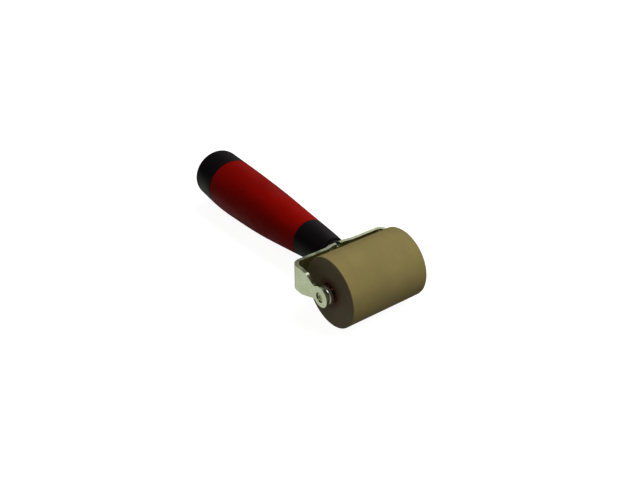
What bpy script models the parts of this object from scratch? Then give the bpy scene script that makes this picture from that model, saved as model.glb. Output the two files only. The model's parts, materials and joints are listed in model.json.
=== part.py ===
"""Seam roller: a rubber roller on a fixed axle, in a bent sheet-steel fork, with a two-colour moulded handle.

The tool frame has its origin at the roller's centre, +X along the axle, +Y towards the butt of the handle and
+Z up. Every piece is modelled in that frame, under one empty that sets the tool down on the ground plane
z = 0: the roller and the belly of the handle touch the ground, and the origin lies under the middle of the
tool. Left is -X and right is +X. Metres throughout.
"""

import math

import bmesh
import bpy
from mathutils import Matrix, Vector
from mathutils.geometry import interpolate_bezier

MM = 0.001
GAP = 0.3 * MM  # between pieces that touch
EDGE = 0.3 * MM  # broken edge of a turned piece

# Roller: a 2 in wide rubber cover, 1 5/8 in across, on a steel tube.
ROLLER_RADIUS = 20.65 * MM
ROLLER_WIDTH = 51.2 * MM
CORE_RADIUS = 5.5 * MM
CORE_BORE = 4.5 * MM
CORE_INSET = 0.3 * MM
AXLE_RADIUS = 3.2 * MM
AXLE_END_RADIUS = 2.8 * MM
AXLE_RECESS = 0.5 * MM  # of its ends behind the fork's outer faces
STAKE_RADIUS = 1.0 * MM
STAKE_DEPTH = 0.6 * MM
RUNNING_CLEARANCE = 0.1 * MM
BUSHING_SHANK = 9.0 * MM
FLANGE_RADIUS = 6.1 * MM
FLANGE_THICKNESS = 0.8 * MM
SPACER_RADIUS = 5.7 * MM
SPACER_LENGTH = 3.2 * MM

# Fork: one strip of sheet, bent into a U.
SHEET = 2.0 * MM
BEND_RADIUS = 4.0 * MM  # at mid-thickness
FORK_HALF_INSIDE = ROLLER_WIDTH / 2 + FLANGE_THICKNESS + SPACER_LENGTH + 3 * GAP
ARM_X = FORK_HALF_INSIDE + SHEET / 2
WEB_Y = 25.8 * MM  # mid-thickness
WEB_HALF_HEIGHT = 8.1 * MM
BOSS_CENTRE = (-0.3 * MM, 0.6 * MM)  # of each arm's round end, as (y, z): a little above the axle
BOSS_RADIUS = 6.2 * MM
UPPER_TAPER = ((12.4 * MM, WEB_HALF_HEIGHT), (7.0 * MM, 5.2 * MM))  # two places on it, as (y, height)
LOWER_TAPER = ((16.8 * MM, WEB_HALF_HEIGHT), (7.0 * MM, 4.4 * MM))
NECK_FILLET = 2.5 * MM
PANEL_DEPTH = 1.1 * MM  # the middle of the web is pressed towards the handle
PANEL_FLAT = 3.6 * MM
PANEL_EDGE = 9.6 * MM
NOTCH_RADIUS = 1.3 * MM
NOTCH_DEPTH = 2.4 * MM

# Tang: a rod riveted through the web, which carries the handle.
TANG_RADIUS = 3.2 * MM
TANG_Z = -1.8 * MM
TANG_END = 84.0 * MM
TANG_HEAD_RADIUS = 4.8 * MM
TANG_HEAD_HEIGHT = 1.5 * MM

# Handle: stations along its bowed spine, as (y, centre z, radius).
NOSE_Y = 28.8 * MM
COLLAR_END = 32.2 * MM  # the nose starts with a slightly thinner collar
COLLAR_RADIUS = 8.4 * MM
NOSE_ROUND = 0.8 * MM
HANDLE_STATIONS = [
    (NOSE_Y, -1.8 * MM, 8.9 * MM),
    (36.0 * MM, -2.3 * MM, 10.1 * MM),
    (48.0 * MM, -3.1 * MM, 11.3 * MM),
    (72.0 * MM, -4.9 * MM, 13.6 * MM),
    (96.0 * MM, -6.4 * MM, 15.75 * MM),
    (120.0 * MM, -7.4 * MM, 17.0 * MM),
    (141.0 * MM, -8.0 * MM, 17.6 * MM),
    (164.0 * MM, -7.3 * MM, 17.1 * MM),
]
RED_START = 55.2 * MM
RED_END = 146.9 * MM
SPINE_RADIUS = 9.2 * MM
SPINE_END = 157.0 * MM
BUTT_LENGTH = 7.2 * MM  # rounding from the last station to the butt
BUTT_POWER = 2.6
BUTT_FLAT_RADIUS = 8.0 * MM

ROUND_STEPS = 96
TURNED_STEPS = 40
HANDLE_STEPS = 48
HANDLE_PITCH = 8.0 * MM  # between the rings of the handle's outside
HIDDEN_PITCH = 24.0 * MM  # between those inside it


def clear_scene():
    for thing in list(bpy.data.objects):
        bpy.data.objects.remove(thing)


def make_material(name, colour, roughness, metallic=0.0):
    material = bpy.data.materials.new(name)
    material.use_nodes = True
    shader = material.node_tree.nodes["Principled BSDF"]
    shader.inputs["Base Color"].default_value = (*colour, 1.0)
    shader.inputs["Roughness"].default_value = roughness
    shader.inputs["Metallic"].default_value = metallic
    return material


def finish_mesh(name, bm, material, parent, smooth_above=35.0):
    """Turns a bmesh into a named object under its parent, shaded smooth but for its edges."""
    bmesh.ops.recalc_face_normals(bm, faces=bm.faces)
    mesh = bpy.data.meshes.new(name)
    bm.to_mesh(mesh)
    bm.free()
    mesh.shade_smooth()
    mesh.set_sharp_from_angle(angle=math.radians(smooth_above))
    mesh.materials.append(material)
    made = bpy.data.objects.new(name, mesh)
    bpy.context.scene.collection.objects.link(made)
    made.parent = parent
    return made


def make_empty(name, parent=None, location=(0.0, 0.0, 0.0)):
    empty = bpy.data.objects.new(name, None)
    empty.location = location
    empty.parent = parent
    bpy.context.scene.collection.objects.link(empty)
    return empty


def arc(centre, radius, start, end, count):
    """Points of an arc, with its angles in degrees."""
    points = []
    for i in range(count + 1):
        angle = math.radians(start + (end - start) * i / count)
        points.append((centre[0] + radius * math.cos(angle), centre[1] + radius * math.sin(angle)))
    return points


def turn(profile, steps, closed):
    """Turns (distance along X, radius) points about the X axis.

    A closed profile makes a ring with a bore. An open one starts and ends on the axis.
    """
    bm = bmesh.new()
    points = [bm.verts.new((along, 0.0, radius)) for along, radius in profile]
    edges = [bm.edges.new(pair) for pair in zip(points, points[1:])]
    if closed:
        edges.append(bm.edges.new((points[-1], points[0])))
    bmesh.ops.spin(
        bm,
        geom=points + edges,
        cent=(0.0, 0.0, 0.0),
        axis=(1.0, 0.0, 0.0),
        angle=math.tau,
        steps=steps,
        use_merge=True,
    )
    bmesh.ops.remove_doubles(bm, verts=bm.verts, dist=0.001 * MM)
    return bm


def sleeve_profile(inner, outer, start, end, edge):
    """Half section of a tube, with its two outer edges broken."""
    return [
        (start, inner),
        (start, outer - edge),
        (start + edge, outer),
        (end - edge, outer),
        (end, outer - edge),
        (end, inner),
    ]


def make_roller_cover(material, parent):
    half = ROLLER_WIDTH / 2
    profile = sleeve_profile(CORE_RADIUS + GAP, ROLLER_RADIUS, -half, half, EDGE)
    return finish_mesh("roller_cover", turn(profile, ROUND_STEPS, True), material, parent)


def make_roller_core(material, parent):
    half = ROLLER_WIDTH / 2 - CORE_INSET
    profile = sleeve_profile(CORE_BORE, CORE_RADIUS, -half, half, EDGE / 2)
    return finish_mesh("roller_core", turn(profile, TURNED_STEPS, True), material, parent)


def make_bushing(name, side, material, parent):
    """Flanged bushing, pressed into one end of the core. The roller turns on its bore."""
    bore = AXLE_RADIUS + RUNNING_CLEARANCE
    shank = CORE_BORE - GAP
    face = ROLLER_WIDTH / 2 + GAP
    cap = face + FLANGE_THICKNESS
    edge = EDGE / 2
    profile = [
        (face - BUSHING_SHANK, bore),
        (face - BUSHING_SHANK, shank),
        (face, shank),
        (face, FLANGE_RADIUS),
        (cap - edge, FLANGE_RADIUS),
        (cap, FLANGE_RADIUS - edge),
        (cap, bore),
    ]
    mirrored = [(side * along, radius) for along, radius in profile]
    return finish_mesh(name, turn(mirrored, TURNED_STEPS, True), material, parent)


def make_spacer(name, side, material, parent):
    start = side * (ROLLER_WIDTH / 2 + FLANGE_THICKNESS + 2 * GAP)
    end = start + side * SPACER_LENGTH
    low, high = sorted((start, end))
    profile = sleeve_profile(AXLE_RADIUS + GAP, SPACER_RADIUS, low, high, EDGE / 2)
    return finish_mesh(name, turn(profile, TURNED_STEPS, True), material, parent)


def make_axle(material, parent):
    """Shouldered pin: its thinner ends sit in the fork's holes, and each has a stake mark."""
    shoulder = FORK_HALF_INSIDE - GAP
    tip = FORK_HALF_INSIDE + SHEET - AXLE_RECESS
    right_half = [
        (shoulder - EDGE / 2, AXLE_RADIUS),
        (shoulder, AXLE_RADIUS - EDGE / 2),
        (shoulder, AXLE_END_RADIUS),
        (tip - EDGE, AXLE_END_RADIUS),
        (tip, AXLE_END_RADIUS - EDGE),
        (tip, STAKE_RADIUS),
        (tip - STAKE_DEPTH, 0.0),
    ]
    left_half = [(-along, radius) for along, radius in reversed(right_half)]
    bm = turn(left_half + right_half, TURNED_STEPS, False)
    return finish_mesh("axle", bm, material, parent)


def fork_path():
    """Mid-thickness line of the strip, seen from above, from the left arm's tip to the right arm's."""
    tip = BOSS_CENTRE[0] - BOSS_RADIUS - SHEET
    corner = (-ARM_X + BEND_RADIUS, WEB_Y - BEND_RADIUS)
    left = [(-ARM_X, tip)] + arc(corner, BEND_RADIUS, 180.0, 90.0, 8)
    steps = 10
    for i in range(steps + 1):
        x = -PANEL_EDGE + (PANEL_EDGE - PANEL_FLAT) * i / steps
        rise = 0.5 - 0.5 * math.cos(math.pi * i / steps)
        left.append((x, WEB_Y + PANEL_DEPTH * rise))
    right = [(-x, y) for x, y in reversed(left)]
    return left + right


def arm_side(taper, boss_centre):
    """One side of the fork's outline, as (y, height), and the angle in degrees where it joins the boss."""
    shoulder = Vector(taper[0])
    along = (Vector(taper[1]) - shoulder).normalized()
    outward = Vector((along.y, -along.x))
    # The fillet's centre lies NECK_FILLET from the taper, and that much outside the boss.
    start = shoulder + outward * NECK_FILLET - boss_centre
    reach = BOSS_RADIUS + NECK_FILLET
    half_b = start.dot(along)
    run = -half_b - math.sqrt(half_b**2 - start.dot(start) + reach**2)
    spoke = start + along * run
    from_taper = math.degrees(math.atan2(-outward.y, -outward.x))
    to_boss = math.degrees(math.atan2(-spoke.y, -spoke.x))
    on_boss = math.degrees(math.atan2(spoke.y, spoke.x))
    points = [(WEB_Y + 4 * SHEET, WEB_HALF_HEIGHT), tuple(shoulder)]
    points += arc(boss_centre + spoke, NECK_FILLET, from_taper, to_boss, 5)
    return points, on_boss


def arm_outline():
    """Side outline of the fork as (y, z): a strip that tapers to a neck and ends in a round boss."""
    y, z = BOSS_CENTRE
    upper, above = arm_side(UPPER_TAPER, Vector((y, z)))
    lower, below = arm_side(LOWER_TAPER, Vector((y, -z)))
    boss = arc(BOSS_CENTRE, BOSS_RADIUS, above, 360.0 - below, 36)
    return upper + boss[1:-1] + [(y, -height) for y, height in reversed(lower)]


def prism(points, place, depth):
    """Closed prism: the outline, put in space by place(a, b), extruded by the vector depth."""
    bm = bmesh.new()
    face = bm.faces.new([bm.verts.new(place(a, b)) for a, b in points])
    moved = bmesh.ops.extrude_face_region(bm, geom=[face])["geom"]
    bmesh.ops.translate(bm, verts=[v for v in moved if isinstance(v, bmesh.types.BMVert)], vec=depth)
    return bm


def rod(radius, start, end, steps=TURNED_STEPS):
    """Closed cylinder between two points."""
    axis = Vector(end) - Vector(start)
    middle = (Vector(start) + Vector(end)) / 2
    bm = bmesh.new()
    bmesh.ops.create_cone(
        bm,
        cap_ends=True,
        segments=steps,
        radius1=radius,
        radius2=radius,
        depth=axis.length,
        matrix=Matrix.Translation(middle) @ axis.to_track_quat("Z", "Y").to_matrix().to_4x4(),
    )
    return bm


def combine(target, operation, name, bm, material):
    """Adds a Boolean modifier that works with a hidden helper shape."""
    helper = finish_mesh(name, bm, material, target.parent)
    helper.hide_render = True
    helper.display_type = "WIRE"
    modifier = target.modifiers.new(name, "BOOLEAN")
    modifier.operation = operation
    modifier.solver = "EXACT"
    modifier.object = helper


def make_fork(material, parent):
    bm = bmesh.new()
    tall = WEB_HALF_HEIGHT + SHEET
    points = [bm.verts.new((x, y, -tall)) for x, y in fork_path()]
    edges = [bm.edges.new(pair) for pair in zip(points, points[1:])]
    raised = bmesh.ops.extrude_edge_only(bm, edges=edges)["geom"]
    top = [v for v in raised if isinstance(v, bmesh.types.BMVert)]
    bmesh.ops.translate(bm, verts=top, vec=(0.0, 0.0, 2 * tall))
    fork = finish_mesh("fork", bm, material, parent)
    sheet = fork.modifiers.new("sheet", "SOLIDIFY")
    sheet.thickness = SHEET
    sheet.offset = 0.0
    sheet.use_even_offset = True
    wide = ARM_X + 2 * SHEET
    outline = prism(arm_outline(), lambda y, z: (-wide, y, z), (2 * wide, 0.0, 0.0))
    combine(fork, "INTERSECT", "fork_outline", outline, material)
    holes = rod(AXLE_END_RADIUS + GAP, (-wide, 0.0, 0.0), (wide, 0.0, 0.0))
    combine(fork, "DIFFERENCE", "axle_holes", holes, material)
    before_web = (0.0, WEB_Y - 2 * SHEET, TANG_Z)
    behind_web = (0.0, WEB_Y + 2 * SHEET, TANG_Z)
    tang_hole = rod(TANG_RADIUS + GAP, before_web, behind_web)
    combine(fork, "DIFFERENCE", "tang_hole", tang_hole, material)
    for name, side in (("top_notch", 1.0), ("bottom_notch", -1.0)):
        notch = prism(notch_outline(side), lambda x, z: (x, WEB_Y - 2 * SHEET, z), (0.0, 4 * SHEET, 0.0))
        combine(fork, "DIFFERENCE", name, notch, material)
    return fork


def notch_outline(side):
    """Round-bottomed relief notch in the web's top or bottom edge, as (x, z)."""
    floor = WEB_HALF_HEIGHT - NOTCH_DEPTH + NOTCH_RADIUS
    points = arc((0.0, floor), NOTCH_RADIUS, 180.0, 360.0, 10)
    points += [(NOTCH_RADIUS, 2 * WEB_HALF_HEIGHT), (-NOTCH_RADIUS, 2 * WEB_HALF_HEIGHT)]
    return [(x, side * z) for x, z in points]


def make_tang(material, parent):
    """Rod with a low domed rivet head in front of the web."""
    head_back = WEB_Y + PANEL_DEPTH - SHEET / 2 - GAP
    head_front = head_back - TANG_HEAD_HEIGHT
    profile = [(head_front, 0.0)]
    for i in range(1, 5):
        angle = math.radians(22.5 * i)
        along = head_front + 0.6 * TANG_HEAD_HEIGHT * (1.0 - math.cos(angle))
        profile.append((along, TANG_HEAD_RADIUS * math.sin(angle)))
    profile += [
        (head_back, TANG_HEAD_RADIUS),
        (head_back, TANG_RADIUS),
        (TANG_END - 2 * EDGE, TANG_RADIUS),
        (TANG_END, TANG_RADIUS - 2 * EDGE),
        (TANG_END, 0.0),
    ]
    bm = turn(profile, TURNED_STEPS, False)
    bmesh.ops.rotate(bm, verts=bm.verts, cent=(0, 0, 0), matrix=Matrix.Rotation(math.pi / 2, 3, "Z"))
    bmesh.ops.translate(bm, verts=bm.verts, vec=(0.0, 0.0, TANG_Z))
    return finish_mesh("tang", bm, material, parent)


def handle_curve(per_span=24):
    """Dense smooth stations along the handle, drawn through HANDLE_STATIONS."""
    knots = [Vector(station) for station in HANDLE_STATIONS]
    before = [2 * knots[0] - knots[1]] + knots[:-1]
    after = knots[1:] + [2 * knots[-1] - knots[-2]]
    tangents = [(b - a) / 6 for a, b in zip(before, after)]
    curve = [knots[0]]
    for i in range(len(knots) - 1):
        near, far = knots[i], knots[i + 1]
        curve += interpolate_bezier(near, near + tangents[i], far - tangents[i + 1], far, per_span + 1)[1:]
    return curve


def handle_at(curve, y):
    """(centre z, radius, slope of the spine) where the spine passes this y."""
    for near, far in zip(curve, curve[1:]):
        if y <= far.x or far is curve[-1]:
            part = (y - near.x) / (far.x - near.x)
            place = near.lerp(far, part)
            return place.y, place.z, (far.y - near.y) / (far.x - near.x)


def ring(curve, y, radius=None, forward=0.0):
    """A circle square to the spine, as (centre, slope, radius). forward moves it along the spine."""
    z, outer, slope = handle_at(curve, y)
    return Vector((0.0, y + forward, z + slope * forward)), slope, outer if radius is None else radius


def stations(start, end, pitch=HANDLE_PITCH):
    """Evenly spaced places from start to end, about one pitch apart."""
    count = max(1, round(abs(end - start) / pitch))
    return [start + (end - start) * i / count for i in range(count + 1)]


def loft(rings, closed):
    """Skin over a row of circles. A closed row joins its last circle to its first. An open one is capped."""
    bm = bmesh.new()
    loops = []
    for centre, slope, radius in rings:
        loop = []
        for i in range(HANDLE_STEPS):
            angle = math.tau * i / HANDLE_STEPS
            rise = radius * math.sin(angle)
            offset = Vector((radius * math.cos(angle), -slope * rise, rise))
            loop.append(bm.verts.new(centre + offset))
        loops.append(loop)
    pairs = list(zip(loops, loops[1:]))
    if closed:
        pairs.append((loops[-1], loops[0]))
    for near, far in pairs:
        for i in range(HANDLE_STEPS):
            j = (i + 1) % HANDLE_STEPS
            bm.faces.new((near[i], near[j], far[j], far[i]))
    if not closed:
        bm.faces.new(loops[0])
        bm.faces.new(loops[-1])
    return bm


def rounded_step(curve, y, radius):
    """Rings of a front edge at y, rounded back to this radius."""
    rings = []
    for i in range(4):
        angle = math.radians(30.0 * i)
        back = y + NOSE_ROUND * (1.0 - math.cos(angle))
        rings.append(ring(curve, back, radius - NOSE_ROUND * (1.0 - math.sin(angle))))
    return rings


def make_handle_core(curve, material, parent):
    """Black moulding: the nose, and the spine that runs on inside the grip."""
    slope = handle_at(curve, NOSE_Y)[2]
    bore = TANG_RADIUS + GAP
    rings = [
        (Vector((0.0, TANG_END + GAP, TANG_Z)), 0.0, bore),
        (Vector((0.0, NOSE_Y, TANG_Z)), slope, bore),
    ]
    rings += rounded_step(curve, NOSE_Y, COLLAR_RADIUS)
    rings.append(ring(curve, COLLAR_END, COLLAR_RADIUS))
    rings += rounded_step(curve, COLLAR_END, handle_at(curve, COLLAR_END)[1])
    rings += [ring(curve, y) for y in stations(COLLAR_END + 2 * NOSE_ROUND, RED_START)]
    rings += [ring(curve, y, SPINE_RADIUS) for y in stations(RED_START, RED_END, HIDDEN_PITCH)]
    rings.append(ring(curve, SPINE_END, SPINE_RADIUS))
    return finish_mesh("handle_core", loft(rings, False), material, parent)


def make_grip_sleeve(curve, material, parent):
    """Red sleeve over the spine."""
    start = RED_START + GAP
    rings = [ring(curve, y) for y in stations(start, RED_END)]
    rings += [ring(curve, y, SPINE_RADIUS + GAP) for y in stations(RED_END, start, HIDDEN_PITCH)]
    return finish_mesh("grip_sleeve", loft(rings, True), material, parent)


def make_end_cap(curve, material, parent):
    """Black butt with a flat end, and a socket for the spine."""
    last = HANDLE_STATIONS[-1][0]
    radius = handle_at(curve, last)[1]
    start = RED_END + GAP
    rings = [ring(curve, y, SPINE_RADIUS + GAP) for y in (SPINE_END + GAP, start)]
    rings += [ring(curve, y) for y in stations(start, last)]
    flat = math.acos((BUTT_FLAT_RADIUS / radius) ** (BUTT_POWER / 2))
    steps = 8
    for i in range(1, steps + 1):
        angle = flat * i / steps
        forward = BUTT_LENGTH * math.sin(angle) ** (2 / BUTT_POWER)
        rings.append(ring(curve, last, radius * math.cos(angle) ** (2 / BUTT_POWER), forward))
    return finish_mesh("end_cap", loft(rings, False), material, parent)


def rest_tilt(curve):
    """Angle about X that lets the roller and the belly of the handle touch the ground together."""
    tilt = 0.0
    for _ in range(20):
        lowest = min(curve, key=lambda s: s.x * math.sin(tilt) + s.y * math.cos(tilt) - s.z)
        height = lowest.x * math.sin(tilt) + lowest.y * math.cos(tilt) - lowest.z
        tilt += (-ROLLER_RADIUS - height) / lowest.x
    return tilt


def main():
    clear_scene()
    rubber = make_material("olive_rubber", (0.205, 0.181, 0.082), 0.75)
    steel = make_material("plated_steel", (0.72, 0.74, 0.68), 0.25, 1.0)
    pin_steel = make_material("dull_steel", (0.40, 0.41, 0.34), 0.4, 1.0)
    bronze = make_material("bronze", (0.33, 0.15, 0.07), 0.4, 1.0)
    black = make_material("black_moulding", (0.012, 0.011, 0.012), 0.35)
    red = make_material("red_grip", (0.32, 0.006, 0.003), 0.42)

    curve = handle_curve()
    tilt = rest_tilt(curve)
    butt_y = HANDLE_STATIONS[-1][0] + BUTT_LENGTH
    middle = (butt_y * math.cos(tilt) - ROLLER_RADIUS) / 2
    tool = make_empty("tool", location=(0.0, -middle, ROLLER_RADIUS))
    tool.rotation_euler = (tilt, 0.0, 0.0)
    roller = make_empty("roller", tool)

    make_roller_cover(rubber, roller)
    make_roller_core(steel, roller)
    make_bushing("bushing_left", -1.0, bronze, roller)
    make_bushing("bushing_right", 1.0, bronze, roller)
    make_spacer("spacer_left", -1.0, steel, tool)
    make_spacer("spacer_right", 1.0, steel, tool)
    make_axle(pin_steel, tool)
    make_fork(steel, tool)
    make_tang(steel, tool)
    make_handle_core(curve, black, tool)
    make_grip_sleeve(curve, red, tool)
    make_end_cap(curve, black, tool)


main()
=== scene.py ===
"""Looks of the seam roller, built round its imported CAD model.

Every piece that shows is modelled again, finer, in the tool frame of the CAD model: its origin is the
roller's centre, +X runs along the axle, +Y towards the butt of the handle and +Z up. TOOL sets that frame
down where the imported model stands. Left is -X and right is +X. Metres throughout, but for the textures,
which are in millimetres of the tool frame.
"""

import json
import math

import bmesh
import bpy
from mathutils import Matrix, Vector
from mathutils.geometry import interpolate_bezier, tessellate_polygon


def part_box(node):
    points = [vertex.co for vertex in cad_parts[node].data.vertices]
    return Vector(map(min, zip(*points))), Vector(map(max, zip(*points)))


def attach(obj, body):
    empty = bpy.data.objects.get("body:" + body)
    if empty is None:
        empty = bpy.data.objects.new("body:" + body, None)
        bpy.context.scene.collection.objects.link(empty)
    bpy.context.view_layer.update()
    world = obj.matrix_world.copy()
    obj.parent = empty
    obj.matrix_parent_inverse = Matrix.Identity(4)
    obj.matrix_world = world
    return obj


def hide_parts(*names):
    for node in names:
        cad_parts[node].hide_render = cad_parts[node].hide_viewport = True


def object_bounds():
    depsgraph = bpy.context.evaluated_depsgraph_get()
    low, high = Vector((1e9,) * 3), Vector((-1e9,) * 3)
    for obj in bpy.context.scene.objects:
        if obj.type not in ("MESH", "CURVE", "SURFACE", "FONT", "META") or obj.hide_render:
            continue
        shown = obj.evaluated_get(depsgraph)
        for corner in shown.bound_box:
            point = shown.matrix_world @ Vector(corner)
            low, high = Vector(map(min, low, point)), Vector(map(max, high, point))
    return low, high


MM = 0.001

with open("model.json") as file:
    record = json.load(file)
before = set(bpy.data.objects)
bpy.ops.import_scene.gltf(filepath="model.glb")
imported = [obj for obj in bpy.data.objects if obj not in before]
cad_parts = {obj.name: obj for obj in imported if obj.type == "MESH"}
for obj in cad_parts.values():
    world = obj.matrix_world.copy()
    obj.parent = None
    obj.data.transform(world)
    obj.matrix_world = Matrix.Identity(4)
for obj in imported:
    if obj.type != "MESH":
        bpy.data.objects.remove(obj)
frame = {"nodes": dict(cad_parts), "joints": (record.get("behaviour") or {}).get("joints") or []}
cad_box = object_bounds()

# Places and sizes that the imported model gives.
ROLLER_CENTRE = Vector(frame["joints"][0]["pos_m"])
ROLLER_RADIUS = ROLLER_CENTRE.z
ROLLER_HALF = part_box("roller_cover")[1].x
CORE_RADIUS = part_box("roller_core")[1].z - ROLLER_CENTRE.z
BUSHING_LOW, BUSHING_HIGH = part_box("bushing_right")
SPACER_LOW, SPACER_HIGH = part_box("spacer_right")
AXLE_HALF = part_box("axle")[1].x
FORK_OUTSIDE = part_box("fork")[1].x

# Turned pieces.
SEAT_GAP = 0.1 * MM  # between pieces that touch
AXLE_RADIUS = 3.2 * MM
AXLE_END_RADIUS = 2.8 * MM
BUSHING_BORE = 3.3 * MM
BUSHING_SHANK_RADIUS = 4.3 * MM
SPACER_BORE = 3.4 * MM
STAKE_RADIUS = 1.0 * MM
STAKE_DEPTH = 0.35 * MM
BURR_HEIGHT = 0.08 * MM  # of the metal raised round a stake mark
BURR_WIDTH = 0.35 * MM
BURR_CREST = 0.15 * MM  # from the mark's edge to the burr's top

# Fork.
SHEET = 2.0 * MM
BEND_RADIUS = 4.0 * MM  # at mid-thickness
ARM_X = FORK_OUTSIDE - SHEET / 2
FORK_HALF_INSIDE = FORK_OUTSIDE - SHEET
WEB_Y = 25.8 * MM
WEB_HALF_HEIGHT = 8.1 * MM
BOSS_CENTRE = (-0.3 * MM, 0.6 * MM)  # of each arm's round end, as (y, z)
BOSS_RADIUS = 6.2 * MM
UPPER_TAPER = ((12.4 * MM, WEB_HALF_HEIGHT), (7.0 * MM, 5.2 * MM))  # two places on it, as (y, height)
LOWER_TAPER = ((16.8 * MM, WEB_HALF_HEIGHT), (7.0 * MM, 4.4 * MM))
SHOULDER_FILLET = 5.0 * MM
NECK_FILLET = 2.5 * MM
PANEL_DEPTH = 1.1 * MM
PANEL_FLAT = 3.6 * MM
PANEL_EDGE = 9.6 * MM
NOTCH_RADIUS = 1.3 * MM
NOTCH_DEPTH = 2.4 * MM
SHEET_ROUND = 0.5 * MM

# Tang.
TANG_RADIUS = 3.2 * MM
TANG_Z = -1.8 * MM
TANG_END = 84.0 * MM
TANG_HEAD_RADIUS = 4.8 * MM
TANG_HEAD_HEIGHT = 1.5 * MM
TANG_DOME_SHARE = 0.75  # of the head's height that is domed

# Handle: stations along its bowed spine, as (y, centre z, radius).
NOSE_Y = 28.8 * MM
COLLAR_END = 32.2 * MM
COLLAR_RADIUS = 8.4 * MM
COLLAR_FLARE = 0.05 * MM  # how much it widens where it runs into the nose
FLARE_START = 0.3 * MM  # both before the collar's end
FLARE_FULL = 0.1 * MM
NOSE_ROUND = 0.8 * MM
HANDLE_STATIONS = [
    (NOSE_Y, -1.8 * MM, 8.9 * MM),
    (36.0 * MM, -2.3 * MM, 10.1 * MM),
    (48.0 * MM, -3.1 * MM, 11.3 * MM),
    (72.0 * MM, -4.9 * MM, 13.6 * MM),
    (96.0 * MM, -6.4 * MM, 15.75 * MM),
    (120.0 * MM, -7.4 * MM, 17.0 * MM),
    (141.0 * MM, -8.0 * MM, 17.6 * MM),
    (164.0 * MM, -7.3 * MM, 17.1 * MM),
]
RED_START = 55.2 * MM
RED_END = 146.9 * MM
SPINE_RADIUS = 9.2 * MM
SPINE_END = 157.0 * MM
BUTT_LENGTH = 7.2 * MM
BUTT_POWER = 2.6
BUTT_FLAT_RADIUS = 8.0 * MM
JOINT_ROUND = 0.25 * MM  # rounded edges where two colours of the handle meet

# Fineness.
ROUND_STEPS = 192
TURNED_STEPS = 96
FILLET_STEPS = 4
STAKE_STEPS = 6
DOME_STEPS = 10
BEND_STEPS = 18
PANEL_STEPS = 20
NECK_STEPS = 8
BOSS_STEPS = 64
NOTCH_STEPS = 24
BUTT_STEPS = 24
HANDLE_STEPS = 128
HANDLE_PITCH = 2.0 * MM
HIDDEN_PITCH = 12.0 * MM

# Camera: where it stands in the world, and how it is turned, in degrees.
CAMERA_PLACE = (-0.2264, -0.3517, 0.2640)
CAMERA_AZIMUTH = -35.27
CAMERA_ELEVATION = 31.59
CAMERA_ROLL = -1.41
CAMERA_LENS = 43.875
CAMERA_SENSOR = 36.0
IMAGE_WIDTH = 640
HALF_PIXEL = 0.5 / IMAGE_WIDTH

# Studio.
AMBIENT = 0.06
LIGHT_DISTANCE = 0.9
LIGHT_SIZE = 0.6
FLOOR_HALF = 6.0
FLOOR_GREY = 0.25
FLOOR_GLOW = 0.92
WHITE = (1.0, 1.0, 1.0, 1.0)


# ---------------------------------------------------------------- shapes


def arc(centre, radius, start, end, count):
    """Points of an arc, with its angles in degrees."""
    points = []
    for i in range(count + 1):
        angle = math.radians(start + (end - start) * i / count)
        points.append((centre[0] + radius * math.cos(angle), centre[1] + radius * math.sin(angle)))
    return points


def rounded(corners, closed=True):
    """Points of an outline given as (a, b, fillet) corners, each fillet an arc between its two sides."""
    points = []
    last = len(corners) - 1
    for i, (a, b, fillet) in enumerate(corners):
        here = Vector((a, b))
        if fillet == 0.0 or (not closed and i in (0, last)):
            points.append(tuple(here))
            continue
        back = (Vector(corners[i - 1][:2]) - here).normalized()
        on = (Vector(corners[(i + 1) % len(corners)][:2]) - here).normalized()
        half = back.angle(on) / 2
        reach = fillet / math.tan(half)
        centre = here + (back + on).normalized() * (fillet / math.sin(half))
        first = (here + back * reach - centre).normalized()
        final = (here + on * reach - centre).normalized()
        for j in range(FILLET_STEPS + 1):
            spoke = first.slerp(final, j / FILLET_STEPS).normalized()
            points.append(tuple(centre + spoke * fillet))
    return points


def turn(profile, steps, closed=True):
    """Turns (distance along X, radius) points about the X axis. A closed profile makes a bored ring."""
    bm = bmesh.new()
    points = [bm.verts.new((along, 0.0, radius)) for along, radius in profile]
    edges = [bm.edges.new(pair) for pair in zip(points, points[1:])]
    if closed:
        edges.append(bm.edges.new((points[-1], points[0])))
    bmesh.ops.spin(
        bm,
        geom=points + edges,
        cent=(0.0, 0.0, 0.0),
        axis=(1.0, 0.0, 0.0),
        angle=math.tau,
        steps=steps,
        use_merge=True,
    )
    bmesh.ops.remove_doubles(bm, verts=bm.verts, dist=0.001 * MM)
    return bm


def stack(loops, closed=False):
    """Skin over a row of loops of points. A closed row joins its last loop to its first.

    An open row is capped at both ends.
    """
    bm = bmesh.new()
    made = [[bm.verts.new(point) for point in loop] for loop in loops]
    count = len(made[0])
    pairs = list(zip(made, made[1:]))
    if closed:
        pairs.append((made[-1], made[0]))
    for near, far in pairs:
        for i in range(count):
            j = (i + 1) % count
            bm.faces.new((near[i], near[j], far[j], far[i]))
    if not closed:
        bm.faces.new(made[0])
        bm.faces.new(made[-1])
    return bm


def bare_object(name, bm):
    """Turns a bmesh into an object in the scene, with its faces turned outwards."""
    bmesh.ops.recalc_face_normals(bm, faces=bm.faces)
    mesh = bpy.data.meshes.new(name)
    bm.to_mesh(mesh)
    bm.free()
    made = bpy.data.objects.new(name, mesh)
    bpy.context.scene.collection.objects.link(made)
    return made


def shade(made, smooth_above=50.0):
    """Smooth shading, with sharp edges where faces meet at more than this angle."""
    made.data.shade_smooth()
    made.data.set_sharp_from_angle(angle=math.radians(smooth_above))
    weighted = made.modifiers.new("flat_faces_stay_flat", "WEIGHTED_NORMAL")
    weighted.keep_sharp = True
    weighted.weight = 80


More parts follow.
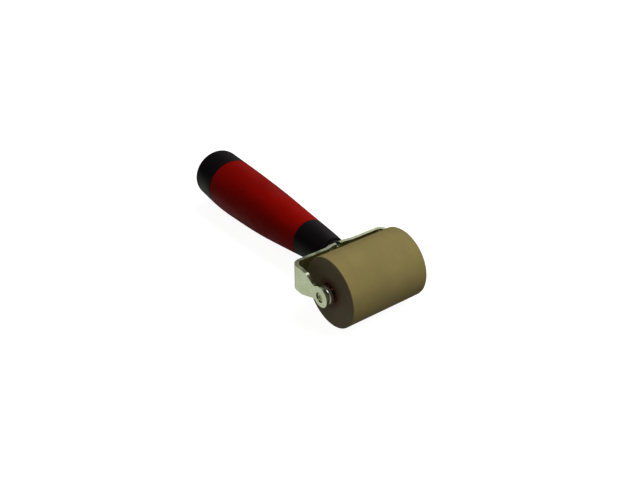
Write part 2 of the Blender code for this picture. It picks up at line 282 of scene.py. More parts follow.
def place_piece(made, material, body, node):
    """Sets a finished piece down: its look, the body it rides on and the CAD node it stands for."""
    made.data.materials.clear()
    made.data.materials.append(material)
    made.matrix_world = TOOL
    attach(made, body)
    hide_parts(node)


# ---------------------------------------------------------------- handle curve


def handle_curve(per_span=24):
    """Dense smooth stations along the handle, drawn through HANDLE_STATIONS."""
    knots = [Vector(station) for station in HANDLE_STATIONS]
    before = [2 * knots[0] - knots[1]] + knots[:-1]
    after = knots[1:] + [2 * knots[-1] - knots[-2]]
    tangents = [(b - a) / 6 for a, b in zip(before, after)]
    curve = [knots[0]]
    for i in range(len(knots) - 1):
        near, far = knots[i], knots[i + 1]
        leaving = near + tangents[i]
        arriving = far - tangents[i + 1]
        curve += interpolate_bezier(near, leaving, arriving, far, per_span + 1)[1:]
    return curve


def handle_at(y):
    """(centre z, radius, slope of the spine) where the spine passes this y."""
    for near, far in zip(CURVE, CURVE[1:]):
        if y <= far.x or far is CURVE[-1]:
            part = (y - near.x) / (far.x - near.x)
            place = near.lerp(far, part)
            return place.y, place.z, (far.y - near.y) / (far.x - near.x)


def rest_tilt():
    """Angle about X that lets the roller and the belly of the handle touch the ground together."""
    tilt = 0.0
    for _ in range(20):
        lowest = min(CURVE, key=lambda s: s.x * math.sin(tilt) + s.y * math.cos(tilt) - s.z)
        height = lowest.x * math.sin(tilt) + lowest.y * math.cos(tilt) - lowest.z
        tilt += (-ROLLER_RADIUS - height) / lowest.x
    return tilt


CURVE = handle_curve()
TOOL = Matrix.Translation(ROLLER_CENTRE) @ Matrix.Rotation(rest_tilt(), 4, "X")


def ring(y, radius=None, inset=0.0, forward=0.0):
    """Circle square to the spine where it passes y, moved forward along it."""
    z, outer, slope = handle_at(y)
    if radius is None:
        radius = outer - inset
    loop = []
    for i in range(HANDLE_STEPS):
        angle = math.tau * i / HANDLE_STEPS
        rise = radius * math.sin(angle)
        place = (radius * math.cos(angle), y + forward - slope * rise, z + slope * forward + rise)
        loop.append(place)
    return loop


def straight_ring(y, radius, slope=0.0):
    """Circle about the tang."""
    loop = []
    for i in range(HANDLE_STEPS):
        angle = math.tau * i / HANDLE_STEPS
        rise = radius * math.sin(angle)
        loop.append((radius * math.cos(angle), y - slope * rise, TANG_Z + rise))
    return loop


def between(start, end, pitch=HANDLE_PITCH):
    """Evenly spaced places from start to end, about one pitch apart."""
    count = max(1, round(abs(end - start) / pitch))
    return [start + (end - start) * i / count for i in range(count + 1)]


def rounded_end(y, inward, radius=None, size=JOINT_ROUND):
    """Rings of a rounded edge at y, from the end face to the outside. inward is +1 or -1."""
    rings = []
    for i in range(FILLET_STEPS + 1):
        angle = math.pi / 2 * i / FILLET_STEPS
        back = size * (1.0 - math.cos(angle))
        down = size * (1.0 - math.sin(angle))
        place = y + inward * back
        outside = handle_at(place)[1] if radius is None else radius
        rings.append(ring(place, outside - down))
    return rings


# ---------------------------------------------------------------- pieces


def make_rubber_cover():
    """Rubber cylinder with a bore for the core and its outer edges a little rounded."""
    bore = CORE_RADIUS + SEAT_GAP
    bore_edge = 0.2 * MM
    outer_edge = 0.45 * MM
    half = ROLLER_HALF
    profile = rounded(
        [
            (-half, bore, bore_edge),
            (-half, ROLLER_RADIUS, outer_edge),
            (half, ROLLER_RADIUS, outer_edge),
            (half, bore, bore_edge),
        ]
    )
    made = bare_object("rubber_cover", turn(profile, ROUND_STEPS))
    shade(made)
    place_piece(made, rubber_material(), "roller", "roller_cover")


def make_bushing(side_name, side, material):
    """Bronze bushing: a shank in the core's end, and a flange outside the cover."""
    low, high = BUSHING_LOW.x, BUSHING_HIGH.x
    flange = (BUSHING_HIGH.z - BUSHING_LOW.z) / 2
    face = ROLLER_HALF + SEAT_GAP
    edge = 0.2 * MM
    flange_back_edge = 0.1 * MM
    flange_front_edge = 0.3 * MM
    corners = [
        (low, BUSHING_BORE, edge),
        (low, BUSHING_SHANK_RADIUS, edge),
        (face, BUSHING_SHANK_RADIUS, 0.0),
        (face, flange, flange_back_edge),
        (high, flange, flange_front_edge),
        (high, BUSHING_BORE, edge),
    ]
    profile = [(side * along, radius) for along, radius in rounded(corners)]
    made = bare_object("flanged_bushing_" + side_name, turn(profile, TURNED_STEPS))
    shade(made)
    place_piece(made, material, "roller", "bushing_" + side_name)


def make_spacer(side_name, side, material):
    """Sleeve between the flange and the arm, well rounded at the arm's end."""
    low, high = SPACER_LOW.x, SPACER_HIGH.x
    radius = (SPACER_HIGH.z - SPACER_LOW.z) / 2
    bore_edge = 0.1 * MM
    flange_edge = 0.25 * MM
    arm_edge = 1.5 * MM
    corners = [
        (low, SPACER_BORE, bore_edge),
        (low, radius, flange_edge),
        (high, radius, arm_edge),
        (high, SPACER_BORE, bore_edge),
    ]
    profile = [(side * along, away) for along, away in rounded(corners)]
    made = bare_object("spacer_sleeve_" + side_name, turn(profile, TURNED_STEPS))
    shade(made)
    place_piece(made, material, "frame", "spacer_" + side_name)


def make_axle_pin():
    """Shouldered pin, with a round stake mark in each end and a burr raised round it."""
    shoulder = FORK_HALF_INSIDE - SEAT_GAP
    tip = AXLE_HALF
    shoulder_edge = 0.15 * MM
    tip_edge = 0.35 * MM
    burr_edge = 0.1 * MM
    right = rounded(
        [
            (0.0, AXLE_RADIUS, 0.0),
            (shoulder, AXLE_RADIUS, shoulder_edge),
            (shoulder, AXLE_END_RADIUS, 0.0),
            (tip, AXLE_END_RADIUS, tip_edge),
            (tip, STAKE_RADIUS + BURR_WIDTH, 0.0),
            (tip + BURR_HEIGHT, STAKE_RADIUS + BURR_CREST, burr_edge),
            (tip, STAKE_RADIUS, 0.0),
        ],
        closed=False,
    )[1:]
    for i in range(1, STAKE_STEPS):
        angle = math.pi / 2 * i / STAKE_STEPS
        right.append((tip - STAKE_DEPTH * math.sin(angle), STAKE_RADIUS * math.cos(angle)))
    right.append((tip - STAKE_DEPTH, 0.0))
    left = [(-along, radius) for along, radius in reversed(right)]
    made = bare_object("axle_pin", turn(left + right, TURNED_STEPS, closed=False))
    shade(made)
    place_piece(made, pin_material(), "frame", "axle")


def make_rivet_tang():
    """Rod with a low domed rivet head in front of the web."""
    head_back = WEB_Y + PANEL_DEPTH - SHEET / 2 - SEAT_GAP
    head_front = head_back - TANG_HEAD_HEIGHT
    head_edge = 0.1 * MM
    end_edge = 0.5 * MM
    profile = []
    for i in range(DOME_STEPS + 1):
        angle = math.pi / 2 * i / DOME_STEPS
        along = head_front + TANG_DOME_SHARE * TANG_HEAD_HEIGHT * (1.0 - math.cos(angle))
        profile.append((along, TANG_HEAD_RADIUS * math.sin(angle)))
    tail = [
        (head_back, TANG_HEAD_RADIUS, head_edge),
        (head_back, TANG_RADIUS, 0.0),
        (TANG_END, TANG_RADIUS, end_edge),
        (TANG_END, 0.0, 0.0),
    ]
    profile += rounded([(*profile[-1], 0.0)] + tail, closed=False)[1:]
    bm = turn(profile, TURNED_STEPS, closed=False)
    bmesh.ops.rotate(bm, verts=bm.verts, cent=(0, 0, 0), matrix=Matrix.Rotation(math.pi / 2, 3, "Z"))
    bmesh.ops.translate(bm, verts=bm.verts, vec=(0.0, 0.0, TANG_Z))
    made = bare_object("rivet_tang", bm)
    shade(made)
    place_piece(made, plated_material("tang_plating", 0.3), "frame", "tang")


def strip_path():
    """Mid-thickness line of the strip as (x, y), from the left bend's start to the right one's end."""
    corner = (-ARM_X + BEND_RADIUS, WEB_Y - BEND_RADIUS)
    left = arc(corner, BEND_RADIUS, 180.0, 90.0, BEND_STEPS)
    for i in range(PANEL_STEPS + 1):
        x = -PANEL_EDGE + (PANEL_EDGE - PANEL_FLAT) * i / PANEL_STEPS
        rise = 0.5 - 0.5 * math.cos(math.pi * i / PANEL_STEPS)
        left.append((x, WEB_Y + PANEL_DEPTH * rise))
    right = [(-x, y) for x, y in reversed(left)]
    return left + right


def arm_side(taper, boss_centre):
    """One side of an arm's outline, as (y, height), and the angle in degrees where it joins the boss."""
    shoulder = Vector(taper[0])
    along = (Vector(taper[1]) - shoulder).normalized()
    outward = Vector((along.y, -along.x))
    # The fillet's centre lies NECK_FILLET from the taper, and that much outside the boss.
    start = shoulder + outward * NECK_FILLET - boss_centre
    reach = BOSS_RADIUS + NECK_FILLET
    half_b = start.dot(along)
    run = -half_b - math.sqrt(half_b**2 - start.dot(start) + reach**2)
    spoke = start + along * run
    from_taper = math.degrees(math.atan2(-outward.y, -outward.x))
    to_boss = math.degrees(math.atan2(-spoke.y, -spoke.x))
    on_boss = math.degrees(math.atan2(spoke.y, spoke.x))
    bend = (WEB_Y - BEND_RADIUS, WEB_HALF_HEIGHT, 0.0)
    points = rounded([bend, (*shoulder, SHOULDER_FILLET), (*taper[1], 0.0)], closed=False)[:-1]
    points += arc(boss_centre + spoke, NECK_FILLET, from_taper, to_boss, NECK_STEPS)
    return points, on_boss


def arm_outline():
    """Side outline of an arm as (y, z), from the bend over the top, round the boss and back."""
    y, z = BOSS_CENTRE
    upper, above = arm_side(UPPER_TAPER, Vector((y, z)))
    lower, below = arm_side(LOWER_TAPER, Vector((y, -z)))
    boss = arc(BOSS_CENTRE, BOSS_RADIUS, above, 360.0 - below, BOSS_STEPS)
    return upper + boss[1:-1] + [(y, -height) for y, height in reversed(lower)]


def fork_surface():
    """Mid-thickness surface of the fork: two arms with their axle holes, and the strip between them."""
    bm = bmesh.new()
    outline = arm_outline()
    hole = arc((0.0, 0.0), AXLE_END_RADIUS + 2 * SEAT_GAP, 0.0, 360.0, BOSS_STEPS)[:-1]
    flat = [[Vector((y, z, 0.0)) for y, z in loop] for loop in (outline, hole)]
    triangles = tessellate_polygon(flat)
    ends = []
    for side in (-1.0, 1.0):
        points = [bm.verts.new((side * ARM_X, y, z)) for y, z in outline + hole]
        for corners in triangles:
            bm.faces.new([points[i] for i in corners])
        ends.append((points[len(outline) - 1], points[0]))
    columns = [ends[0]]
    for x, y in strip_path()[1:-1]:
        columns.append(tuple(bm.verts.new((x, y, z)) for z in (-WEB_HALF_HEIGHT, WEB_HALF_HEIGHT)))
    columns.append(ends[1])
    for near, far in zip(columns, columns[1:]):
        bm.faces.new((near[0], far[0], far[1], near[1]))
    return bm


def notch_cutter(side):
    """Round-bottomed relief notch in the web's top or bottom edge."""
    bottom = WEB_HALF_HEIGHT - NOTCH_DEPTH + NOTCH_RADIUS
    points = arc((0.0, bottom), NOTCH_RADIUS, 180.0, 360.0, NOTCH_STEPS)
    points += [(NOTCH_RADIUS, 2 * WEB_HALF_HEIGHT), (-NOTCH_RADIUS, 2 * WEB_HALF_HEIGHT)]
    return stack([[(x, WEB_Y + reach * SHEET, side * z) for x, z in points] for reach in (-2, 2)])


def tang_hole_cutter():
    """Round rod through the web, where the tang goes."""
    return stack([straight_ring(WEB_Y + reach * SHEET, TANG_RADIUS + SEAT_GAP) for reach in (-2, 2)])


def cut(target, name, bm):
    """Cuts one closed shape out of another for good."""
    helper = bare_object(name, bm)
    modifier = target.modifiers.new(name, "BOOLEAN")
    modifier.operation = "DIFFERENCE"
    modifier.solver = "EXACT"
    modifier.object = helper
    apply_modifiers(target)
    bpy.data.objects.remove(helper)


def apply_modifiers(target):
    """Makes what the modifiers show the object's own mesh."""
    graph = bpy.context.evaluated_depsgraph_get()
    mesh = bpy.data.meshes.new_from_object(target.evaluated_get(graph))
    target.modifiers.clear()
    target.data = mesh


def make_fork_sheet():
    """Bent strip with rounded rims, a hole for the tang and a notch in each edge of the web."""
    made = bare_object("fork_sheet", fork_surface())
    sheet = made.modifiers.new("sheet", "SOLIDIFY")
    sheet.thickness = SHEET
    sheet.offset = 0.0
    sheet.use_even_offset = True
    rims = made.modifiers.new("rims", "BEVEL")
    rims.width = SHEET_ROUND
    rims.segments = 3
    rims.limit_method = "ANGLE"
    rims.angle_limit = math.radians(40.0)
    apply_modifiers(made)
    cut(made, "tang_hole", tang_hole_cutter())
    cut(made, "top_notch", notch_cutter(1.0))
    cut(made, "bottom_notch", notch_cutter(-1.0))
    shade(made, 40.0)
    place_piece(made, plated_material("fork_plating", 0.16), "frame", "fork")


def make_handle_nose(material):
    """Black moulding: the nose with its collar, and the spine that runs on inside the grip."""
    slope = handle_at(NOSE_Y)[2]
    bore = TANG_RADIUS + SEAT_GAP
    rings = [straight_ring(TANG_END + SEAT_GAP, bore), straight_ring(NOSE_Y, bore, slope)]
    rings += rounded_end(NOSE_Y, 1.0, COLLAR_RADIUS, NOSE_ROUND)
    rings.append(ring(COLLAR_END - FLARE_START, COLLAR_RADIUS))
    rings.append(ring(COLLAR_END - FLARE_FULL, COLLAR_RADIUS + COLLAR_FLARE))
    rings += rounded_end(COLLAR_END, 1.0, None, NOSE_ROUND)
    rings += [ring(y) for y in between(COLLAR_END + 2 * NOSE_ROUND, RED_START - 2 * JOINT_ROUND)]
    rings += reversed(rounded_end(RED_START, -1.0))
    rings += [ring(y, SPINE_RADIUS) for y in between(RED_START, SPINE_END, HIDDEN_PITCH)]
    made = bare_object("handle_nose", stack(rings))
    shade(made)
    place_piece(made, material, "frame", "handle_core")


def make_handle_grip():
    """Red sleeve round the spine."""
    start = RED_START + SEAT_GAP
    end = RED_END
    inner = SPINE_RADIUS + SEAT_GAP
    rings = rounded_end(start, 1.0)
    rings += [ring(y) for y in between(start + 2 * JOINT_ROUND, end - 2 * JOINT_ROUND)]
    rings += reversed(rounded_end(end, -1.0))
    rings += [ring(y, inner) for y in between(end, start, HIDDEN_PITCH)]
    made = bare_object("handle_grip", stack(rings, closed=True))
    shade(made)
    place_piece(made, grip_material(), "frame", "grip_sleeve")


def make_handle_butt(material):
    """Black butt with a nearly flat end, and a socket for the spine."""
    last = HANDLE_STATIONS[-1][0]
    radius = handle_at(last)[1]
    start = RED_END + SEAT_GAP
    inner = SPINE_RADIUS + SEAT_GAP
    rings = [ring(SPINE_END + SEAT_GAP, inner), ring(start, inner)]
    rings += rounded_end(start, 1.0)
    rings += [ring(y) for y in between(start + 2 * JOINT_ROUND, last)]
    flat = math.acos((BUTT_FLAT_RADIUS / radius) ** (BUTT_POWER / 2))
    for i in range(1, BUTT_STEPS + 1):
        angle = flat * i / BUTT_STEPS
        forward = BUTT_LENGTH * math.sin(angle) ** (2 / BUTT_POWER)
        rings.append(ring(last, radius * math.cos(angle) ** (2 / BUTT_POWER), forward=forward))
    for share in (0.7, 0.35, 0.1):
        rings.append(ring(last, BUTT_FLAT_RADIUS * share, forward=forward))
    made = bare_object("handle_butt", stack(rings))
    shade(made)
    place_piece(made, material, "frame", "end_cap")


# ---------------------------------------------------------------- materials


class Tree:
    """A material's node tree, written in short lines. place is the tool-frame position in millimetres."""

    def __init__(self, name, colour, roughness, metallic=0.0, specular=0.5):
        self.material = bpy.data.materials.new(name)
        self.material.use_nodes = True
        self.tree = self.material.node_tree
        self.shader = self.tree.nodes["Principled BSDF"]
        self.shader.inputs["Base Color"].default_value = (*colour, 1.0)
        self.shader.inputs["Roughness"].default_value = roughness
        self.shader.inputs["Metallic"].default_value = metallic
        self.shader.inputs["Specular IOR Level"].default_value = specular
        coordinates = self.tree.nodes.new("ShaderNodeTexCoord").outputs["Object"]
        self.place = self.vector("MULTIPLY", coordinates, (1 / MM, 1 / MM, 1 / MM))
        self.relief = None

    def fill(self, socket, value):
        if isinstance(value, bpy.types.NodeSocket):
            self.tree.links.new(value, socket)
        else:
            socket.default_value = value

    def math(self, operation, a, b=0.0):
        node = self.tree.nodes.new("ShaderNodeMath")
        node.operation = operation
        self.fill(node.inputs[0], a)
        self.fill(node.inputs[1], b)
        return node.outputs["Value"]

    def vector(self, operation, a, b=(0.0, 0.0, 0.0)):
        node = self.tree.nodes.new("ShaderNodeVectorMath")
        node.operation = operation
        self.fill(node.inputs[0], a)
        self.fill(node.inputs[1], b)
        return node.outputs["Value" if operation in ("LENGTH", "DOT_PRODUCT") else "Vector"]

    def split(self, vector):
        node = self.tree.nodes.new("ShaderNodeSeparateXYZ")
        self.fill(node.inputs["Vector"], vector)
        return node.outputs["X"], node.outputs["Y"], node.outputs["Z"]

    def join(self, x, y, z):
        node = self.tree.nodes.new("ShaderNodeCombineXYZ")
        for socket, value in zip(node.inputs, (x, y, z)):
            self.fill(socket, value)
        return node.outputs["Vector"]

    def noise(self, stretch, detail=3.0, place=None, rough=0.55):
        """Noise from 0 to 1 about 0.5, with this many features per millimetre along each axis."""
        node = self.tree.nodes.new("ShaderNodeTexNoise")
        node.inputs["Scale"].default_value = 1.0
        node.inputs["Detail"].default_value = detail
        node.inputs["Roughness"].default_value = rough
        self.fill(node.inputs["Vector"], self.vector("MULTIPLY", place or self.place, stretch))
        return node.outputs["Fac"]

    def pits(self, scale, size):
        """Small round spots: 1 inside a spot, 0 outside, spread at this many cells per millimetre."""
        node = self.tree.nodes.new("ShaderNodeTexVoronoi")
        node.inputs["Scale"].default_value = scale
        self.fill(node.inputs["Vector"], self.place)
        return self.between(node.outputs["Distance"], size, size * 0.4)

    def between(self, value, low, high, to_low=0.0, to_high=1.0):
        """Smooth step of value from low to high, as to_low to to_high."""
        node = self.tree.nodes.new("ShaderNodeMapRange")
        node.interpolation_type = "SMOOTHSTEP"
        inputs = (value, low, high, to_low, to_high)
        for name, given in zip(("Value", "From Min", "From Max", "To Min", "To Max"), inputs):
            self.fill(node.inputs[name], given)
        return node.outputs["Result"]

    def mix(self, factor, a, b):
        node = self.tree.nodes.new("ShaderNodeMix")
        node.data_type = "RGBA"
        self.fill(node.inputs["Factor"], factor)
        self.fill(node.inputs[6], a)
        self.fill(node.inputs[7], b)
        return node.outputs[2]

    def paint(self, colour):
        self.fill(self.shader.inputs["Base Color"], colour)

    def roughen(self, value):
        self.fill(self.shader.inputs["Roughness"], value)

    def bump(self, height, distance):
        """Adds relief this many millimetres deep on top of what is there."""
        node = self.tree.nodes.new("ShaderNodeBump")
        node.inputs["Strength"].default_value = 1.0
        node.inputs["Distance"].default_value = distance * MM
        self.fill(node.inputs["Height"], height)
        if self.relief is not None:
            self.fill(node.inputs["Normal"], self.relief)
        self.relief = node.outputs["Normal"]
        self.fill(self.shader.inputs["Normal"], self.relief)


def shades(colour, *factors):
    """The same colour at these brightnesses."""
    return [(*(channel * factor for channel in colour), 1.0) for factor in factors]


def rubber_material():
    """Ground olive rubber: fine turning marks, mottling, grit, pale scuffs, a darker red tint by the hub
    and painted shade on the ends.
    """
    colour = (0.213, 0.174, 0.064)
    grit_colour = (0.11, 0.088, 0.034, 1.0)
    dust_colour = (0.30, 0.255, 0.13, 1.0)
    mark_colour = (0.27, 0.225, 0.10, 1.0)
    end_shade_colour = (0.132, 0.107, 0.075, 1.0)
    hub_tint_colour = (0.12, 0.040, 0.022, 1.0)
    end = ROLLER_HALF / MM
    t = Tree("ground_rubber", colour, 0.75, specular=0.12)
    x, y, z = t.split(t.place)
    radius = t.vector("LENGTH", t.join(0.0, y, z))
    slow = t.math("MULTIPLY", t.math("ADD", y, z), 0.06)
    turned = t.join(t.math("MULTIPLY", x, 5.0), t.math("MULTIPLY", radius, 5.0), slow)
    marks = t.noise((1.0, 1.0, 1.0), 3.0, turned)
    cloud = t.noise((0.07, 0.07, 0.07), 4.0)
    grit = t.noise((4.0, 4.0, 4.0), 2.0)
    dark, pale = shades(colour, 0.92, 1.06)
    base = t.mix(t.between(cloud, 0.3, 0.7), dark, pale)
    speckled = t.mix(t.between(grit, 0.62, 0.74, 0.0, 0.45), base, grit_colour)
    scuffs = t.noise((0.5, 0.5, 0.5), 5.0)
    dusty = t.mix(t.between(scuffs, 0.6, 0.8, 0.0, 0.35), speckled, dust_colour)
    ground = t.mix(t.between(marks, 0.55, 0.75, 0.0, 0.25), dusty, mark_colour)
    # Painted shade: both end faces of the roller are painted darker and bluer than its side.
    painted_end_shade = t.between(t.math("ABSOLUTE", x), end - 0.4, end - 0.1, 0.0, 0.7)
    ends = t.mix(painted_end_shade, ground, end_shade_colour)
    # The end faces take a darker, redder tint round the hub, fading out about 9 to 13 mm from the axle
    # with a cloudy edge.
    near_hub_tint = t.between(t.math("ADD", radius, t.math("MULTIPLY", cloud, 4.0)), 9.0, 13.0, 0.75, 0.0)
    t.paint(t.mix(near_hub_tint, ends, hub_tint_colour))
    t.roughen(t.between(cloud, 0.25, 0.75, 0.66, 0.84))
    t.bump(marks, 0.035)
    t.bump(grit, 0.02)
    return t.material


def plated_material(name, roughness):
    """Bright zinc plate with a faint green-yellow tint, rolled sheet under it, and handling marks."""
    colour = (0.605, 0.66, 0.465)
    tint_colour = (0.58, 0.61, 0.37, 1.0)
    pit_colour = (0.30, 0.29, 0.22, 1.0)
    t = Tree(name, colour, roughness, 1.0)
    rolled = t.noise((0.25, 0.25, 6.0), 3.0)
    cloud = t.noise((0.16, 0.16, 0.16), 3.0)
    spangle = t.noise((1.2, 1.2, 1.2), 2.0)
    dull, bright = shades(colour, 0.88, 1.08)
    tinted = t.mix(t.between(cloud, 0.35, 0.7), bright, tint_colour)
    base = t.mix(t.between(spangle, 0.3, 0.7), dull, tinted)
    t.paint(t.mix(t.pits(0.55, 0.12), base, pit_colour))
    smudge = t.between(cloud, 0.3, 0.7, roughness * 0.8, roughness * 1.5)
    t.roughen(t.math("ADD", smudge, t.between(rolled, 0.4, 0.8, 0.0, 0.1)))
    t.bump(rolled, 0.0015)
    t.bump(t.noise((0.12, 0.12, 0.12), 1.0), 0.10)
    t.bump(spangle, 0.0015)
    return t.material


def spacer_material():
    """Bright plated tube, turned, with fine rings."""
    colour = (0.80, 0.80, 0.72)
    t = Tree("bright_plating", colour, 0.14, 1.0)
    rings = t.noise((9.0, 0.3, 0.3), 2.0)
    dull, bright = shades(colour, 0.85, 1.05)
    t.paint(t.mix(t.between(rings, 0.35, 0.65), dull, bright))
    t.roughen(t.between(rings, 0.3, 0.7, 0.10, 0.22))
    t.bump(rings, 0.006)
    return t.material


def pin_material():
    """Dull, slightly oiled steel with turning rings on its ends and small dents from the staking."""
    colour = (0.47, 0.50, 0.27)
    rust_colour = (0.16, 0.085, 0.04, 1.0)
    t = Tree("oily_steel", colour, 0.30, 1.0)
    x, y, z = t.split(t.place)
    radius = t.vector("LENGTH", t.join(0.0, y, z))
    turned = t.join(t.math("MULTIPLY", radius, 7.0), t.math("MULTIPLY", x, 4.0), 0.0)
    rings = t.noise((1.0, 1.0, 1.0), 2.0, turned)
    stain = t.noise((0.9, 0.9, 0.9), 3.0)
    dark, pale = shades(colour, 0.75, 1.15)
    rusty = t.mix(t.between(stain, 0.62, 0.8), pale, rust_colour)
    t.paint(t.mix(t.between(rings, 0.35, 0.65), dark, rusty))
    t.roughen(t.between(stain, 0.3, 0.7, 0.22, 0.38))
    t.bump(rings, 0.002)
    t.bump(stain, 0.005)
    return t.material


def bronze_material():
    """Oiled sintered bronze: porous, dark in its pores, brighter where it rubs."""
    colour = (0.17, 0.072, 0.038)
    pore_colour = (0.03, 0.016, 0.01, 1.0)
    t = Tree("oiled_bronze", colour, 0.28, 1.0)
    pores = t.pits(5.0, 0.28)
    cloud = t.noise((0.7, 0.7, 0.7), 4.0)
    dark, bright = shades(colour, 0.35, 1.15)
    base = t.mix(t.between(cloud, 0.35, 0.65), dark, bright)
    t.paint(t.mix(pores, base, pore_colour))
    t.roughen(t.between(cloud, 0.3, 0.7, 0.20, 0.38))
    t.bump(t.math("SUBTRACT", 1.0, pores), 0.02)
    return t.material


def core_material():
    """Turned steel tube under the rubber."""
    colour = (0.50, 0.50, 0.48)
    t = Tree("turned_steel", colour, 0.35, 1.0)
    rings = t.noise((7.0, 0.3, 0.3), 2.0)
    dull, bright = shades(colour, 0.8, 1.05)
    t.paint(t.mix(t.between(rings, 0.35, 0.65), dull, bright))
    t.roughen(t.between(rings, 0.3, 0.7, 0.25, 0.45))
    t.bump(rings, 0.008)
    return t.material


def moulding(name, colour, roughness, worn, grain, specular=0.5):
    """Moulded grip plastic: fine sandblasted grain, faint flow clouds and patches polished by hands."""
    t = Tree(name, colour, roughness, specular=specular)
    blast = t.noise((grain, grain, grain), 2.0)
    flow = t.noise((0.05, 0.02, 0.05), 3.0)
    held = t.noise((0.09, 0.05, 0.09), 4.0)
    dark, pale = shades(colour, 0.86, 1.12)
    base = t.mix(t.between(flow, 0.3, 0.7), dark, pale)
    scuffs = t.between(t.noise((1.6, 0.35, 1.6), 4.0), 0.66, 0.8, 0.0, 0.5)
    t.paint(t.mix(scuffs, base, (*worn, 1.0)))
    polish = t.between(held, 0.35, 0.7, roughness * 1.15, roughness * 0.8)
    t.roughen(t.math("ADD", polish, t.between(blast, 0.4, 0.8, 0.0, 0.08)))
    t.bump(blast, 0.012)
    t.bump(held, 0.05)
    return t.material


def grip_material():
    red = (0.205, 0.0022, 0.0010)
    worn = (0.23, 0.005, 0.003)
    return moulding("red_soft_grip", red, 0.50, worn, 3.0, 0.02)


def black_material():
    black = (0.0055, 0.0044, 0.0050)
    worn = (0.009, 0.008, 0.008)
    return moulding("black_moulding", black, 0.42, worn, 3.5, 0.05)


# ---------------------------------------------------------------- studio


def make_floor():
    """Pale floor that shows itself and the shadows on it. The sky gives the light it would throw back."""
    bm = bmesh.new()
    bmesh.ops.create_grid(bm, x_segments=2, y_segments=2, size=FLOOR_HALF)
    floor = bare_object("floor", bm)
    material = bpy.data.materials.new("pale_floor")
    material.use_nodes = True
    shader = material.node_tree.nodes["Principled BSDF"]
    shader.inputs["Base Color"].default_value = (FLOOR_GREY, FLOOR_GREY, FLOOR_GREY, 1.0)
    shader.inputs["Roughness"].default_value = 0.9
    shader.inputs["Specular IOR Level"].default_value = 0.0
    shader.inputs["Emission Color"].default_value = WHITE
    shader.inputs["Emission Strength"].default_value = FLOOR_GLOW
    floor.data.materials.append(material)
    floor.visible_diffuse = False
    floor.visible_glossy = False
    floor.visible_shadow = False


def make_sky():
    """Soft light from all round, with glows for the gloss to mirror. The camera itself sees white.

    Each glow is (direction, (cosine at its edge, cosine where it is full), strength, colour).
    """
    glows = [
        ((0.62, -0.62, -0.48), (-0.2, 1.0), 0.31, (1.0, 0.95, 0.86)),  # wide, from the floor in front
        ((-0.49, 0.68, -0.55), (0.78, 0.96), 0.62, (0.96, 1.0, 0.93)),  # from the floor behind
        ((0.80, 0.45, 0.40), (0.905, 0.945), 0.9, (1.0, 0.99, 0.96)),  # from the right
        ((0.46, 0.30, 0.84), (0.93, 0.985), 1.3, (1.0, 0.99, 0.97)),  # overhead, to the right
        ((-0.50, -0.31, 0.79), (0.95, 0.985), 2.8, (1.0, 0.97, 0.94)),  # overhead, to the left
    ]
    world = bpy.data.worlds.new("studio")
    bpy.context.scene.world = world
    world.use_nodes = True
    tree = world.node_tree
    tree.nodes.clear()
    direction = tree.nodes.new("ShaderNodeTexCoord").outputs["Generated"]
    total = tree.nodes.new("ShaderNodeRGB").outputs["Color"]
    total.default_value = (AMBIENT, AMBIENT, AMBIENT, 1.0)
    for towards, (edge, full), strength, colour in glows:
        facing = tree.nodes.new("ShaderNodeVectorMath")
        facing.operation = "DOT_PRODUCT"
        facing.inputs[1].default_value = Vector(towards).normalized()
        tree.links.new(direction, facing.inputs[0])
        step = tree.nodes.new("ShaderNodeMapRange")
        step.interpolation_type = "SMOOTHSTEP"
        step.inputs["From Min"].default_value = edge
        step.inputs["From Max"].default_value = full
        tree.links.new(facing.outputs["Value"], step.inputs["Value"])
        tint = tree.nodes.new("ShaderNodeVectorMath")
        tint.operation = "MULTIPLY_ADD"
        tint.inputs[1].default_value = Vector(colour) * strength
        tree.links.new(step.outputs["Result"], tint.inputs[0])
        tree.links.new(total, tint.inputs[2])
        total = tint.outputs["Vector"]
    lighting = tree.nodes.new("ShaderNodeBackground")
    tree.links.new(total, lighting.inputs["Color"])
    seen = tree.nodes.new("ShaderNodeBackground")
    seen.inputs["Color"].default_value = WHITE
    choice = tree.nodes.new("ShaderNodeMixShader")
    is_camera = tree.nodes.new("ShaderNodeLightPath").outputs["Is Camera Ray"]
    tree.links.new(is_camera, choice.inputs[0])
    tree.links.new(lighting.outputs["Background"], choice.inputs[1])
    tree.links.new(seen.outputs["Background"], choice.inputs[2])
    out = tree.nodes.new("ShaderNodeOutputWorld")
    tree.links.new(choice.outputs["Shader"], out.inputs["Surface"])


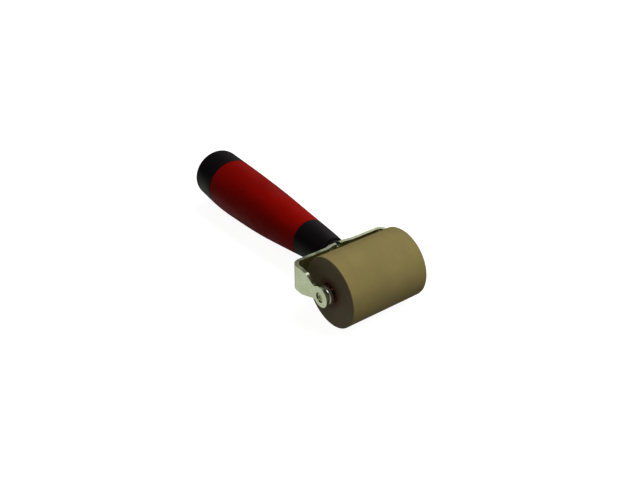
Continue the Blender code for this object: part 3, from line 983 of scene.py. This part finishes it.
def make_light(name, direction, power, colour):
    """Soft light that faces the tool's middle from this direction. Gloss mirrors the sky, not this."""
    light = bpy.data.lights.new(name, "AREA")
    light.shape = "DISK"
    light.size = LIGHT_SIZE
    light.energy = power
    light.color = colour
    made = bpy.data.objects.new(name, light)
    bpy.context.scene.collection.objects.link(made)
    towards = Vector(direction).normalized()
    middle = (cad_box[0] + cad_box[1]) / 2
    made.location = middle + towards * LIGHT_DISTANCE
    made.rotation_euler = towards.to_track_quat("Z", "Y").to_euler()
    made.visible_glossy = False


def make_camera():
    """Camera at the photograph's viewing angle. Its half-pixel shift is in image widths."""
    data = bpy.data.cameras.new("camera")
    data.sensor_width = CAMERA_SENSOR
    data.lens = CAMERA_LENS
    data.shift_x = -HALF_PIXEL
    data.shift_y = HALF_PIXEL
    data.clip_start = 0.01
    data.clip_end = 20.0
    camera = bpy.data.objects.new("camera", data)
    bpy.context.scene.collection.objects.link(camera)
    heading = Matrix.Rotation(math.radians(CAMERA_AZIMUTH), 4, "Z")
    pitch = Matrix.Rotation(math.radians(90.0 - CAMERA_ELEVATION), 4, "X")
    roll = Matrix.Rotation(math.radians(CAMERA_ROLL), 4, "Z")
    camera.matrix_world = Matrix.Translation(CAMERA_PLACE) @ heading @ pitch @ roll
    bpy.context.scene.camera = camera


def main():
    make_rubber_cover()
    bronze = bronze_material()
    plating = spacer_material()
    for side_name, side in (("left", -1.0), ("right", 1.0)):
        make_bushing(side_name, side, bronze)
        make_spacer(side_name, side, plating)
    make_axle_pin()
    make_rivet_tang()
    make_fork_sheet()
    black = black_material()
    make_handle_nose(black)
    make_handle_grip()
    make_handle_butt(black)
    frame["nodes"]["roller_core"].data.materials.clear()
    frame["nodes"]["roller_core"].data.materials.append(core_material())

    make_floor()
    make_sky()
    make_light("key", (0.46, -0.45, 0.76), 6.0, (1.0, 0.985, 0.95))
    make_light("top_fill", (0.45, 0.05, 0.88), 1.2, (1.0, 1.0, 1.0))
    make_camera()
    bpy.context.scene.view_settings.view_transform = "Standard"


main()
